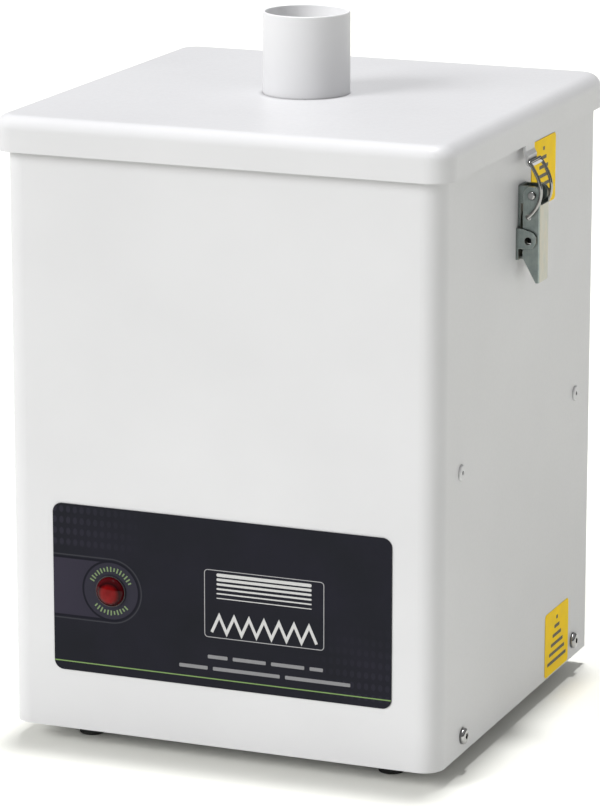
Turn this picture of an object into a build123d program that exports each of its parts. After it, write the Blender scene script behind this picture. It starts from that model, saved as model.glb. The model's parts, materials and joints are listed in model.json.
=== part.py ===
from build123d import *
import os

# Bench-top solder fume extractor.  Millimetres, +Z up, the front face looks along -Y.
# The origin is on the bench, under the middle of the cabinet.

# ---------------------------------------------------------------- driving sizes
body_w = 260.0          # cabinet width, side wall to side wall
body_d = 260.0          # cabinet depth, front wall to rear panel
sheet = 1.5             # steel sheet of the cabinet, the shelf and the lid
foot_h = 11.0           # gap between the bench and the cabinet
body_top = 357.0        # top edge of the cabinet, under the lid
bend_r = 12.0           # outside radius of the two folded front corners
lid_z = 344.0           # lower edge of the lid skirt
lid_h = 20.0            # height of the lid
lid_lap = 6.0           # how far the lid stands out past the cabinet
lid_corner_r = 14.0
lid_edge_r = 8.0
spigot_r = 25.0         # fits a 50 mm extraction hose
spigot_h = 47.0
shelf_z = 168.0         # underside of the shelf under the filter
latch_y = 2.0           # the latches sit this far behind the middle of the side walls
fan_x = 5.0             # blower axis
fan_y = 5.0
lamp_x = -66.3          # filter lamp on the fascia
lamp_z = 95.5
inlet_x = -70.0         # mains inlet and switch on the rear panel
inlet_z = 58.0
rocker_z = 104.0
gap = 0.3               # running clearance between moving pieces

# ---------------------------------------------------------------- sizes worked out
half_w = body_w / 2
half_d = body_d / 2
in_w = half_w - sheet               # inner face of a side wall
in_front = -half_d + sheet          # inner face of the front wall
in_rear = half_d - 2 * sheet        # inner face of the rear folds
body_h = body_top - foot_h
lid_top = lid_z + lid_h
skirt_x = half_w + lid_lap          # outer face of the lid skirt
base_top = foot_h + sheet
shelf_top = shelf_z + sheet
fold = 12.0                         # width of the rear folds and of the top rim

os.makedirs("parts", exist_ok=True)


def folded_outline(half_width, y_front, y_rear, radius):
    """Outline seen from above: square at the rear, rounded at the two front corners."""
    with BuildSketch() as outline:
        with Locations((0, (y_front + y_rear) / 2)):
            Rectangle(2 * half_width, y_rear - y_front)
        fillet(outline.vertices().group_by(Axis.Y)[0], radius)
    return outline.sketch


wrap_outer = folded_outline(half_w, -half_d, half_d, bend_r)
wrap_inner = folded_outline(in_w, in_front, in_rear, bend_r - sheet)
tray_inner = folded_outline(in_w - sheet, in_front + sheet, in_rear - sheet, bend_r - 2 * sheet)

# ================================================================ cabinet sheet metal
side_screw_y = (-89.0, 106.0)
side_screw_z = 21.5
shelf_rivet_y = (-95.0, 103.0)
shelf_rivet_z = 175.5
latch_rivet_z = (284.0, 301.0)
rear_screw_z = (42.0, 150.0, 250.0, 334.0)
rear_screw_x = in_w - fold / 2
screw_r = 2.0                       # M4
rivet_r = 2.0

side_screws = [(y, side_screw_z) for y in side_screw_y]
shelf_rivet_spots = [(y, shelf_rivet_z) for y in shelf_rivet_y]
latch_rivet_spots = [(latch_y, z) for z in latch_rivet_z]

# One sheet wraps round the front and both sides; its rear edges fold in to carry the panel.
with BuildPart() as cabinet_wrap:
    with BuildSketch(Plane.XY.offset(foot_h)):
        add(wrap_outer)
        add(wrap_inner, mode=Mode.SUBTRACT)
        with Locations((0, half_d - sheet / 2)):
            Rectangle(2 * in_w, sheet, mode=Mode.SUBTRACT)
        with Locations((0, in_rear + sheet / 2)):
            Rectangle(2 * (in_w - fold), sheet, mode=Mode.SUBTRACT)
    extrude(amount=body_h)
    with BuildSketch(Plane.YZ):
        with Locations(*side_screws, *shelf_rivet_spots, *latch_rivet_spots):
            Circle(screw_r)
    extrude(amount=body_w, both=True, mode=Mode.SUBTRACT)
    with BuildSketch(Plane.XZ.offset(-in_front)):
        with Locations((lamp_x, lamp_z)):
            Circle(6.4)
    extrude(amount=2 * sheet, mode=Mode.SUBTRACT)
    with BuildSketch(Plane.XZ.offset(-in_rear + sheet)):
        with Locations(*[(side * rear_screw_x, z) for side in (-1, 1) for z in rear_screw_z]):
            Circle(1.5)
    extrude(amount=-3 * sheet, mode=Mode.SUBTRACT)
cabinet_wrap.part.label = "cabinet_wrap"
export_step(cabinet_wrap.part, "parts/cabinet_wrap.step")

base_flange_h = 21.0
foot_x = 92.5
foot_y = 101.0
mount_x = 60.0                      # rubber mounts of the blower, either side of its axis
mount_y = 58.0
board_x = -96.0                     # middle of the control board
board_y = 0.0
board_w = 46.0
board_l = 124.0
post_x = board_w / 2 - 4
post_y = board_l / 2 - 4
foot_spots = [(sx * foot_x, sy * foot_y) for sx in (-1, 1) for sy in (-1, 1)]
mount_spots = [(fan_x + sx * mount_x, fan_y + sy * mount_y) for sx in (-1, 1) for sy in (-1, 1)]
post_spots = [(board_x + sx * post_x, board_y + sy * post_y) for sx in (-1, 1) for sy in (-1, 1)]

with BuildPart() as base_plate:
    with BuildSketch(Plane.XY.offset(foot_h)):
        add(wrap_inner)
    extrude(amount=base_flange_h)
    with BuildSketch(Plane.XY.offset(base_top)):
        add(tray_inner)
    extrude(amount=base_flange_h, mode=Mode.SUBTRACT)
    with BuildSketch(Plane.YZ):
        with Locations(*side_screws):
            Circle(screw_r)
    extrude(amount=body_w, both=True, mode=Mode.SUBTRACT)
    with BuildSketch(Plane.XY):
        with Locations(*foot_spots):
            Circle(screw_r)
        with Locations(*mount_spots, *post_spots):
            Circle(1.5)
    extrude(amount=2 * foot_h, mode=Mode.SUBTRACT)
base_plate.part.label = "base_plate"
export_step(base_plate.part, "parts/base_plate.step")

shelf_h = 15.0
fan_hole_r = 58.0
tap_x = -60.0                       # pressure tap in the shelf
tap_y = -92.0
switch_x = -86.0                    # filter pressure switch, hung under the shelf
switch_y = -52.0

with BuildPart() as shelf_plate:
    with BuildSketch(Plane.XY.offset(shelf_z)):
        add(wrap_inner)
    extrude(amount=shelf_h)
    with BuildSketch(Plane.XY.offset(shelf_top)):
        add(tray_inner)
    extrude(amount=shelf_h, mode=Mode.SUBTRACT)
    with BuildSketch(Plane.XY.offset(shelf_z)):
        with Locations((fan_x, fan_y)):
            Circle(fan_hole_r)
        with Locations((tap_x, tap_y)):
            Circle(3.0)
    extrude(amount=sheet, mode=Mode.SUBTRACT)
    with BuildSketch(Plane.YZ):
        with Locations(*shelf_rivet_spots):
            Circle(rivet_r)
    extrude(amount=body_w, both=True, mode=Mode.SUBTRACT)
shelf_plate.part.label = "shelf_plate"
export_step(shelf_plate.part, "parts/shelf_plate.step")

rim_leg = 16.0

with BuildPart() as rim_frame:
    with BuildSketch(Plane.XY.offset(body_top - rim_leg)):
        add(wrap_inner)
        add(tray_inner, mode=Mode.SUBTRACT)
    extrude(amount=rim_leg)
    with BuildSketch(Plane.XY.offset(body_top - sheet)):
        add(wrap_inner)
        with Locations((0, (in_front + in_rear) / 2)):
            Rectangle(2 * (in_w - fold), in_rear - in_front - 2 * fold, mode=Mode.SUBTRACT)
    extrude(amount=sheet)
    with BuildSketch(Plane.XZ.offset(-in_rear)):
        with Locations(*[(side * rear_screw_x, rear_screw_z[-1] + 8) for side in (-1, 1)]):
            Circle(1.5)
    extrude(amount=sheet, mode=Mode.SUBTRACT)
rim_frame.part.label = "rim_frame"
export_step(rim_frame.part, "parts/rim_frame.step")

# Rear panel with the exhaust slots, the inlet cut-out and the switch cut-out.
duct_in = 62.0                      # blower outlet: nearer and farther wall from the axis
duct_out = 102.0
duct_z0 = 94.0
duct_z1 = 148.0
slot_x = fan_x + (duct_in + duct_out) / 2
slot_z = (duct_z0 + duct_z1) / 2
slot_pitch = 6.2
slot_count = 8
socket_w = 30.0
socket_h = 30.0
socket_screw_x = 20.0
switch_w = 15.0
switch_h = 20.0
panel_w = 2 * in_w - 0.4

with BuildPart() as rear_panel:
    with BuildSketch(Plane.XZ.offset(-half_d + sheet)):
        with Locations((0, foot_h + body_h / 2)):
            Rectangle(panel_w, body_h)
        with Locations((slot_x, slot_z)):
            with GridLocations(0, slot_pitch, 1, slot_count):
                SlotOverall(34, 3.2, mode=Mode.SUBTRACT)
        with Locations((inlet_x, inlet_z)):
            Rectangle(socket_w, socket_h, mode=Mode.SUBTRACT)
            with GridLocations(2 * socket_screw_x, 0, 2, 1):
                Circle(1.5, mode=Mode.SUBTRACT)
        with Locations((inlet_x, rocker_z)):
            Rectangle(switch_w, switch_h, mode=Mode.SUBTRACT)
        with Locations(*[(side * rear_screw_x, z) for side in (-1, 1) for z in rear_screw_z]):
            Circle(1.5, mode=Mode.SUBTRACT)
    extrude(amount=-sheet)
rear_panel.part.label = "rear_panel"
export_step(rear_panel.part, "parts/rear_panel.step")

# ================================================================ feet and fixings
foot_r = 8.4

with BuildPart() as rubber_feet:
    with BuildSketch(Plane.XY.offset(foot_h)):
        with Locations(*foot_spots):
            Circle(foot_r)
    extrude(amount=-foot_h, taper=5)
    fillet(rubber_feet.edges().group_by(Axis.Z)[0], 0.8)
    with BuildSketch(Plane.XY):
        with Locations(*foot_spots):
            Circle(4.2)
    extrude(amount=5.0, mode=Mode.SUBTRACT)
    with BuildSketch(Plane.XY):
        with Locations(*foot_spots):
            Circle(screw_r)
    extrude(amount=foot_h, mode=Mode.SUBTRACT)
rubber_feet.part.label = "rubber_feet"
export_step(rubber_feet.part, "parts/rubber_feet.step")

with BuildPart() as foot_screws:
    with BuildSketch(Plane.XY.offset(2.5)):
        with Locations(*foot_spots):
            Circle(4.0)
    extrude(amount=2.5)
    with BuildSketch(Plane.XY.offset(2.5)):
        with Locations(*foot_spots):
            Rectangle(5.0, 1.2)
            Rectangle(1.2, 5.0)
    extrude(amount=1.2, mode=Mode.SUBTRACT)
    with BuildSketch(Plane.XY.offset(5.0)):
        with Locations(*foot_spots):
            Circle(screw_r)
    extrude(amount=12.0)
    with BuildSketch(Plane.XY.offset(base_top)):
        with Locations(*foot_spots):
            RegularPolygon(4.0, 6)
    extrude(amount=3.2)
foot_screws.part.label = "foot_screws"
export_step(foot_screws.part, "parts/foot_screws.step")


def side_fixings(spots, head_r, head_h, shank_r, shank_l, recess_r, recess_depth, dome):
    """Headed fixings driven in through both side walls; the heads stand outside."""
    with BuildPart() as fixings:
        with BuildSketch(Plane.YZ.offset(half_w)):
            with Locations(*spots):
                Circle(head_r)
        extrude(amount=head_h)
        fillet(fixings.edges().group_by(Axis.X)[-1], dome)
        with BuildSketch(Plane.YZ.offset(half_w)):
            with Locations(*spots):
                Circle(shank_r)
        extrude(amount=-shank_l)
        with BuildSketch(Plane.YZ.offset(half_w + head_h)):
            with Locations(*spots):
                RegularPolygon(recess_r, 6)
        extrude(amount=-recess_depth, mode=Mode.SUBTRACT)
        mirror(about=Plane.YZ)
    return fixings.part


with BuildPart() as base_screws:
    add(side_fixings(side_screws, 4.7, 2.8, screw_r, 9.0, 1.9, 1.8, 2.0))
base_screws.part.label = "base_screws"
export_step(base_screws.part, "parts/base_screws.step")

with BuildPart() as shelf_rivets:
    add(side_fixings(shelf_rivet_spots, 4.5, 1.2, rivet_r, 5.0, 1.4, 2.4, 0.9))
shelf_rivets.part.label = "shelf_rivets"
export_step(shelf_rivets.part, "parts/shelf_rivets.step")

with BuildPart() as rear_panel_screws:
    with BuildSketch(Plane.XZ.offset(-half_d)):
        with Locations(*[(side * rear_screw_x, z) for side in (-1, 1) for z in rear_screw_z]):
            Circle(3.2)
    extrude(amount=-2.0)
    fillet(rear_panel_screws.edges().group_by(Axis.Y)[-1], 1.4)
    with BuildSketch(Plane.XZ.offset(-half_d)):
        with Locations(*[(side * rear_screw_x, z) for side in (-1, 1) for z in rear_screw_z]):
            Circle(1.5)
    extrude(amount=8.0)
    with BuildSketch(Plane.XZ.offset(-half_d - 2.0)):
        with Locations(*[(side * rear_screw_x, z) for side in (-1, 1) for z in rear_screw_z]):
            Rectangle(3.6, 0.8)
            Rectangle(0.8, 3.6)
    extrude(amount=1.1, mode=Mode.SUBTRACT)
rear_panel_screws.part.label = "rear_panel_screws"
export_step(rear_panel_screws.part, "parts/rear_panel_screws.step")

# ================================================================ filter
case_w = 228.0
case_wall = 2.0
case_lip = 8.0
seal_h = 4.0
case_z = shelf_top + seal_h
case_h = 158.0
fill_w = case_w - 2 * case_wall

with BuildPart() as filter_casing:
    with BuildSketch(Plane.XY.offset(case_z)):
        RectangleRounded(case_w, case_w, 3)
    extrude(amount=case_h)
    with BuildSketch(Plane.XY.offset(case_z + case_wall)):
        Rectangle(fill_w, fill_w)
    extrude(amount=case_h - 2 * case_wall, mode=Mode.SUBTRACT)
    with BuildSketch(Plane.XY.offset(case_z)):
        Rectangle(fill_w - 2 * case_lip, fill_w - 2 * case_lip)
    extrude(amount=case_h, mode=Mode.SUBTRACT)
filter_casing.part.label = "filter_casing"
export_step(filter_casing.part, "parts/filter_casing.step")

with BuildPart() as filter_seal:
    with BuildSketch(Plane.XY.offset(shelf_top)):
        Rectangle(case_w, case_w)
        Rectangle(case_w - 24, case_w - 24, mode=Mode.SUBTRACT)
    extrude(amount=seal_h)
filter_seal.part.label = "filter_seal"
export_step(filter_seal.part, "parts/filter_seal.step")

grid_h = 2.0
carbon_h = 58.0
pleat_h = 46.0
pad_h = 24.0
grid_z = case_z + case_wall
carbon_z = grid_z + grid_h
upper_grid_z = carbon_z + carbon_h
pleat_z = upper_grid_z + grid_h + 6
pad_z = case_z + case_h - case_wall - pad_h
mesh_pitch = 18.0
mesh_hole = 13.0

with BuildPart() as carbon_grids:
    for level in (grid_z, upper_grid_z):
        with BuildSketch(Plane.XY.offset(level)):
            Rectangle(fill_w, fill_w)
            with GridLocations(mesh_pitch, mesh_pitch, 11, 11):
                Rectangle(mesh_hole, mesh_hole, mode=Mode.SUBTRACT)
        extrude(amount=grid_h)
carbon_grids.part.label = "carbon_grids"
export_step(carbon_grids.part, "parts/carbon_grids.step")

with BuildPart() as carbon_bed:
    with BuildSketch(Plane.XY.offset(carbon_z)):
        Rectangle(fill_w, fill_w)
    extrude(amount=carbon_h)
carbon_bed.part.label = "carbon_bed"
export_step(carbon_bed.part, "parts/carbon_bed.step")

# Pleated medium: one folded web that zigzags from wall to wall inside a thin frame.
pleat_count = 22
pleat_web = 1.0
pack_w = fill_w - 8.0
pleat_step = (pack_w - 2.0) / (2 * pleat_count)
web_low = [
    (-pack_w / 2 + 1 + pleat_step * i, pleat_z + (i % 2) * (pleat_h - 3 * pleat_web))
    for i in range(2 * pleat_count + 1)
]
web_high = [(x, z + 3 * pleat_web) for x, z in reversed(web_low)]

with BuildPart() as hepa_pleats:
    with BuildSketch(Plane.XZ) as web:
        with BuildLine():
            Polyline(*web_low, *web_high, close=True)
        make_face()
    extrude(amount=pack_w / 2, both=True)
hepa_pleats.part.label = "hepa_pleats"
export_step(hepa_pleats.part, "parts/hepa_pleats.step")

with BuildPart() as hepa_frame:
    with BuildSketch(Plane.XY.offset(pleat_z - 6)):
        Rectangle(fill_w, fill_w)
        Rectangle(pack_w, pack_w, mode=Mode.SUBTRACT)
    extrude(amount=pad_z - pleat_z + 6)
hepa_frame.part.label = "hepa_frame"
export_step(hepa_frame.part, "parts/hepa_frame.step")

with BuildPart() as prefilter_pad:
    with BuildSketch(Plane.XY.offset(pad_z)):
        Rectangle(fill_w, fill_w)
    extrude(amount=pad_h)
prefilter_pad.part.label = "prefilter_pad"
export_step(prefilter_pad.part, "parts/prefilter_pad.step")

# ================================================================ blower
# The scroll grows by one step every quarter turn, so its arcs meet without a corner.
scroll_r = 62.0
scroll_step = 10.0
wall = 2.0
outlet_y = 100.0
floor_z = duct_z0
cover_z = duct_z1 - wall
eye_r = 38.0
shaft_r = 4.0
arc_centres = [
    (fan_x, fan_y),
    (fan_x, fan_y - scroll_step),
    (fan_x + scroll_step, fan_y - scroll_step),
    (fan_x + scroll_step, fan_y),
]
boss_spots = []
for quarter, (cx, cy) in enumerate(arc_centres):
    reach = (scroll_r + quarter * scroll_step + 5.5) / 2 ** 0.5
    boss_spots.append((cx + (reach, -reach, -reach, reach)[quarter],
                       cy + (reach, reach, -reach, -reach)[quarter]))

with BuildSketch() as scroll:
    with BuildLine():
        for quarter, centre in enumerate(arc_centres):
            CenterArc(centre, scroll_r + quarter * scroll_step, 90 * quarter, 90)
        Polyline(
            (fan_x + duct_out, fan_y),
            (fan_x + duct_out, outlet_y),
            (fan_x + duct_in, outlet_y),
            (fan_x + duct_in, fan_y),
        )
    make_face()
with BuildSketch() as scroll_wall:
    add(scroll.sketch)
    offset(amount=wall, kind=Kind.INTERSECTION)

with BuildPart() as blower_housing:
    with BuildSketch(Plane.XY.offset(floor_z)):
        add(scroll_wall.sketch)
        with Locations(*boss_spots):
            Circle(4.5)
    extrude(amount=cover_z - floor_z)
    with BuildSketch(Plane.XY.offset(floor_z + wall)):
        add(scroll.sketch)
    extrude(amount=cover_z - floor_z, mode=Mode.SUBTRACT)
    with BuildSketch(Plane.XZ.offset(-outlet_y)):
        with Locations((fan_x + (duct_in + duct_out) / 2, (floor_z + cover_z + wall) / 2)):
            Rectangle(duct_out - duct_in, cover_z - floor_z - wall)
    extrude(amount=-2 * wall, mode=Mode.SUBTRACT)
    with BuildSketch(Plane.XY.offset(floor_z)):
        with Locations((fan_x, fan_y)):
            Circle(8)
    extrude(amount=wall, mode=Mode.SUBTRACT)
    with BuildSketch(Plane.XY.offset(cover_z)):
        with Locations(*boss_spots):
            Circle(1.5)
    extrude(amount=-14, mode=Mode.SUBTRACT)
blower_housing.part.label = "blower_housing"
export_step(blower_housing.part, "parts/blower_housing.step")

with BuildPart() as blower_cover:
    with BuildSketch(Plane.XY.offset(cover_z)):
        add(scroll_wall.sketch)
        with Locations(*boss_spots):
            Circle(4.5)
            Circle(1.5, mode=Mode.SUBTRACT)
        with Locations((fan_x, fan_y)):
            Circle(eye_r, mode=Mode.SUBTRACT)
    extrude(amount=wall)
    with BuildSketch(Plane.XY.offset(cover_z)):
        with Locations((fan_x, fan_y)):
            Circle(eye_r + wall)
            Circle(eye_r, mode=Mode.SUBTRACT)
    extrude(amount=8)
blower_cover.part.label = "blower_cover"
export_step(blower_cover.part, "parts/blower_cover.step")

with BuildPart() as inlet_ring:
    with BuildSketch(Plane.XZ):
        with BuildLine():
            Polyline(
                (eye_r + wall, duct_z1 + 1),
                (eye_r + wall + 1.5, duct_z1 + 1),
                (eye_r + wall + 1.5, duct_z1 + 8),
                (fan_hole_r, shelf_z - 1.5),
                (fan_hole_r + 10, shelf_z - 1.5),
                (fan_hole_r + 10, shelf_z),
                (fan_hole_r - 1, shelf_z),
                (eye_r + wall, duct_z1 + 9),
                close=True,
            )
        make_face()
    revolve(axis=Axis.Z)
inlet_ring.part = inlet_ring.part.moved(Location((fan_x, fan_y, 0)))
inlet_ring.part.label = "inlet_ring"
export_step(inlet_ring.part, "parts/inlet_ring.step")

# Backward-curved impeller on the motor shaft.
wheel_r = 55.0
wheel_z = floor_z + wall + 5
blade_h = 34.0
blade_count = 9
plate_t = 1.6

with BuildPart() as impeller:
    with BuildSketch(Plane.XY.offset(wheel_z)):
        Circle(wheel_r)
    extrude(amount=plate_t)
    with BuildSketch(Plane.XY.offset(wheel_z)):
        Circle(11)
    extrude(amount=18)
    with BuildSketch(Plane.XY.offset(wheel_z + plate_t)) as blades:
        with BuildLine() as camber:
            ThreePointArc((26, 0), (43, 8), (54, 22))
        trace(camber.line, plate_t)
        with PolarLocations(0, blade_count):
            add(blades.sketch)
    extrude(amount=blade_h)
    with BuildSketch(Plane.XY.offset(wheel_z + plate_t + blade_h)):
        Circle(wheel_r)
        Circle(eye_r - 2, mode=Mode.SUBTRACT)
    extrude(amount=plate_t)
    with BuildSketch(Plane.XY.offset(wheel_z)):
        Circle(shaft_r)
    extrude(amount=20, mode=Mode.SUBTRACT)
impeller.part = impeller.part.moved(Location((fan_x, fan_y, 0)))
impeller.part.label = "impeller"
export_step(impeller.part, "parts/impeller.step")

motor_r = 40.0
motor_h = 38.0
bracket_z = floor_z - sheet
motor_z = bracket_z - motor_h

with BuildPart() as fan_shaft:
    with BuildSketch(Plane.XY.offset(motor_z + 6)):
        with Locations((fan_x, fan_y)):
            Circle(shaft_r)
    extrude(amount=wheel_z + 26 - motor_z - 6)
    chamfer(fan_shaft.edges().group_by(Axis.Z)[-1], 0.6)
fan_shaft.part.label = "fan_shaft"
export_step(fan_shaft.part, "parts/fan_shaft.step")

with BuildPart() as hub_nut:
    with BuildSketch(Plane.XY.offset(wheel_z + 18)):
        with Locations((fan_x, fan_y)):
            RegularPolygon(7.5, 6)
            Circle(shaft_r, mode=Mode.SUBTRACT)
    extrude(amount=5)
hub_nut.part.label = "hub_nut"
export_step(hub_nut.part, "parts/hub_nut.step")

with BuildPart() as motor_body:
    with BuildSketch(Plane.XY.offset(motor_z)):
        with Locations((fan_x, fan_y)):
            Circle(motor_r)
    extrude(amount=motor_h)
    fillet(motor_body.edges().group_by(Axis.Z)[0], 5)
    with BuildSketch(Plane.XY.offset(motor_z + 8)):
        with Locations((fan_x, fan_y)):
            with PolarLocations(motor_r, 24):
                Circle(1.4)
    extrude(amount=motor_h - 16, mode=Mode.SUBTRACT)
    with BuildSketch(Plane.XY.offset(motor_z + 5.7)):
        with Locations((fan_x, fan_y)):
            Circle(shaft_r + 0.05)
    extrude(amount=motor_h, mode=Mode.SUBTRACT)
motor_body.part.label = "motor_body"
export_step(motor_body.part, "parts/motor_body.step")

# Bridge of folded sheet that carries the motor and the blower over four rubber mounts.
mount_h = 12.0
bridge_z = base_top + mount_h
bridge_half_x = mount_x - 9

with BuildPart() as blower_bracket:
    with BuildSketch(Plane.XZ.offset(-fan_y)):
        with BuildLine():
            Polyline(
                (fan_x - mount_x - 9, bridge_z),
                (fan_x - bridge_half_x, bridge_z),
                (fan_x - bridge_half_x, bracket_z),
                (fan_x + bridge_half_x, bracket_z),
                (fan_x + bridge_half_x, bridge_z),
                (fan_x + mount_x + 9, bridge_z),
                (fan_x + mount_x + 9, bridge_z + sheet),
                (fan_x + bridge_half_x + sheet, bridge_z + sheet),
                (fan_x + bridge_half_x + sheet, bracket_z + sheet),
                (fan_x - bridge_half_x - sheet, bracket_z + sheet),
                (fan_x - bridge_half_x - sheet, bridge_z + sheet),
                (fan_x - mount_x - 9, bridge_z + sheet),
                close=True,
            )
        make_face()
    extrude(amount=mount_y + 9, both=True)
    with BuildSketch(Plane.XY.offset(bracket_z)):
        with Locations((fan_x, fan_y)):
            Circle(8)
    extrude(amount=sheet, mode=Mode.SUBTRACT)
    with BuildSketch(Plane.XY.offset(bridge_z)):
        with Locations(*mount_spots):
            Circle(screw_r)
    extrude(amount=sheet, mode=Mode.SUBTRACT)
    # Hole that the motor lead passes through.
    with BuildSketch(Plane.YZ.offset(fan_x - bridge_half_x)):
        with Locations((fan_y, motor_z + 4)):
            Circle(4)
    extrude(amount=-sheet, mode=Mode.SUBTRACT)
blower_bracket.part.label = "blower_bracket"
export_step(blower_bracket.part, "parts/blower_bracket.step")

with BuildPart() as vibration_mounts:
    with BuildSketch(Plane.XY.offset(base_top)):
        with Locations(*mount_spots):
            Circle(7.5)
    extrude(amount=mount_h)
    with BuildSketch(Plane.XY.offset(bridge_z - 7)):
        with Locations(*mount_spots):
            Circle(screw_r)
    extrude(amount=8, mode=Mode.SUBTRACT)
vibration_mounts.part.label = "vibration_mounts"
export_step(vibration_mounts.part, "parts/vibration_mounts.step")


def panhead(spots, z, head_r, head_h, shank_r, shank_l):
    """Pan-head screws that stand upright with their heads resting on height z."""
    with BuildPart() as screws:
        with BuildSketch(Plane.XY.offset(z)):
            with Locations(*spots):
                Circle(head_r)
        extrude(amount=head_h)
        fillet(screws.edges().group_by(Axis.Z)[-1], 0.6 * head_h)
        with BuildSketch(Plane.XY.offset(z)):
            with Locations(*spots):
                Circle(shank_r)
        extrude(amount=-shank_l)
        with BuildSketch(Plane.XY.offset(z + head_h)):
            with Locations(*spots):
                Rectangle(1.1 * head_r, 0.25 * head_r)
                Rectangle(0.25 * head_r, 1.1 * head_r)
        extrude(amount=-0.5 * head_h, mode=Mode.SUBTRACT)
    return screws.part


with BuildPart() as blower_screws:
    add(panhead(boss_spots, duct_z1, 3.0, 2.2, 1.5, 14.0))
blower_screws.part.label = "blower_screws"
export_step(blower_screws.part, "parts/blower_screws.step")

with BuildPart() as bracket_screws:
    add(panhead(mount_spots, bridge_z + sheet, 4.0, 2.6, screw_r, 7.5))
bracket_screws.part.label = "bracket_screws"
export_step(bracket_screws.part, "parts/bracket_screws.step")

# Foam-lined sleeve between the blower outlet and the rear panel.
sleeve_wall = 3.0
sleeve_y = outlet_y - 6

with BuildPart() as exhaust_duct:
    with BuildSketch(Plane.XZ.offset(-sleeve_y)):
        with Locations((fan_x + (duct_in + duct_out) / 2, slot_z)):
            Rectangle(duct_out - duct_in + 2 * (wall + sleeve_wall),
                      duct_z1 - duct_z0 + 2 * sleeve_wall)
            Rectangle(duct_out - duct_in + 2 * wall, duct_z1 - duct_z0, mode=Mode.SUBTRACT)
    extrude(amount=-(half_d - sheet - sleeve_y))
exhaust_duct.part.label = "exhaust_duct"
export_step(exhaust_duct.part, "parts/exhaust_duct.step")

# ================================================================ control electronics
post_h = 10.0
board_z = base_top + post_h
board_t = 1.6

with BuildPart() as board_standoffs:
    with BuildSketch(Plane.XY.offset(base_top)):
        with Locations(*post_spots):
            RegularPolygon(3.2, 6)
    extrude(amount=post_h)
    with BuildSketch(Plane.XY.offset(board_z)):
        with Locations(*post_spots):
            Circle(1.5)
    extrude(amount=-7, mode=Mode.SUBTRACT)
board_standoffs.part.label = "board_standoffs"
export_step(board_standoffs.part, "parts/board_standoffs.step")

with BuildPart() as control_board:
    with BuildSketch(Plane.XY.offset(board_z)):
        with Locations((board_x, board_y)):
            RectangleRounded(board_w, board_l, 2)
        with Locations(*post_spots):
            Circle(1.5, mode=Mode.SUBTRACT)
    extrude(amount=board_t)
control_board.part.label = "control_board"
export_step(control_board.part, "parts/control_board.step")

with BuildPart() as board_screws:
    add(panhead(post_spots, board_z + board_t, 2.8, 2.0, 1.5, 7.0))
board_screws.part.label = "board_screws"
export_step(board_screws.part, "parts/board_screws.step")

chip_z = board_z + board_t

with BuildPart() as board_components:
    with BuildSketch(Plane.XY.offset(chip_z)):
        with Locations((board_x, board_y + 32)):
            RectangleRounded(32, 30, 1.5)
    extrude(amount=26)
    with BuildSketch(Plane.XY.offset(chip_z)):
        with Locations((board_x - 8, board_y + 2)):
            Rectangle(15, 19)
    extrude(amount=15.5)
    with BuildSketch(Plane.XY.offset(chip_z)):
        with Locations((board_x + 11, board_y - 2), (board_x + 11, board_y - 19)):
            Circle(6.3)
    extrude(amount=20)
    with BuildSketch(Plane.XY.offset(chip_z)):
        with Locations((board_x, board_y - 40)):
            Rectangle(30, 9)
    extrude(amount=11)
    with BuildSketch(Plane.XY.offset(chip_z)):
        with Locations((board_x - 10, board_y - 22)):
            Rectangle(9, 12)
    extrude(amount=2.2)
board_components.part.label = "board_components"
export_step(board_components.part, "parts/board_components.step")

# Differential pressure switch, its tap in the shelf and the tube between them.
switch_r = 17.0
barb_r = 2.4
barb_z = 156.0
barb_tip_y = switch_y - switch_r - 9

with BuildPart() as pressure_switch:
    with BuildSketch(Plane.XY.offset(shelf_z)):
        with Locations((switch_x, switch_y)):
            RectangleRounded(2 * switch_r, 2 * switch_r, 3)
    extrude(amount=-2)
    with BuildSketch(Plane.XY.offset(shelf_z - 2)):
        with Locations((switch_x, switch_y)):
            Circle(switch_r - 1)
    extrude(amount=-18)
    fillet(pressure_switch.edges().group_by(Axis.Z)[0], 2)
    with BuildSketch(Plane.XZ.offset(-barb_tip_y)):
        with Locations((switch_x, barb_z)):
            Circle(barb_r)
    extrude(amount=-12)
pressure_switch.part.label = "pressure_switch"
export_step(pressure_switch.part, "parts/pressure_switch.step")

with BuildPart() as pressure_tap:
    with BuildSketch(Plane.XY.offset(shelf_z)):
        with Locations((tap_x, tap_y)):
            RegularPolygon(6.0, 6)
    extrude(amount=-3)
    with BuildSketch(Plane.XY.offset(shelf_top + 2)):
        with Locations((tap_x, tap_y)):
            Circle(3.0)
    extrude(amount=-(sheet + 2))
    with BuildSketch(Plane.XY.offset(shelf_z - 3)):
        with Locations((tap_x, tap_y)):
            Circle(barb_r)
    extrude(amount=-9)
    with BuildSketch(Plane.XY.offset(shelf_top + 2)):
        with Locations((tap_x, tap_y)):
            Circle(1.4)
    extrude(amount=-20, mode=Mode.SUBTRACT)
pressure_tap.part.label = "pressure_tap"
export_step(pressure_tap.part, "parts/pressure_tap.step")

with BuildPart() as pressure_tube:
    with BuildLine() as tube_run:
        away = Line((switch_x, barb_tip_y + 8, barb_z), (switch_x, barb_tip_y - 2, barb_z))
        up = Line((tap_x, tap_y, shelf_z - 14), (tap_x, tap_y, shelf_z - 4))
        Spline(away @ 1, up @ 0, tangents=(away % 1, up % 0), tangent_scalars=(1.5, 1.5))
    with BuildSketch(Plane.XZ.offset(-barb_tip_y - 8)):
        with Locations((switch_x, barb_z)):
            Circle(4.0)
            Circle(barb_r, mode=Mode.SUBTRACT)
    sweep()
pressure_tube.part.label = "pressure_tube"
export_step(pressure_tube.part, "parts/pressure_tube.step")

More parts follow.
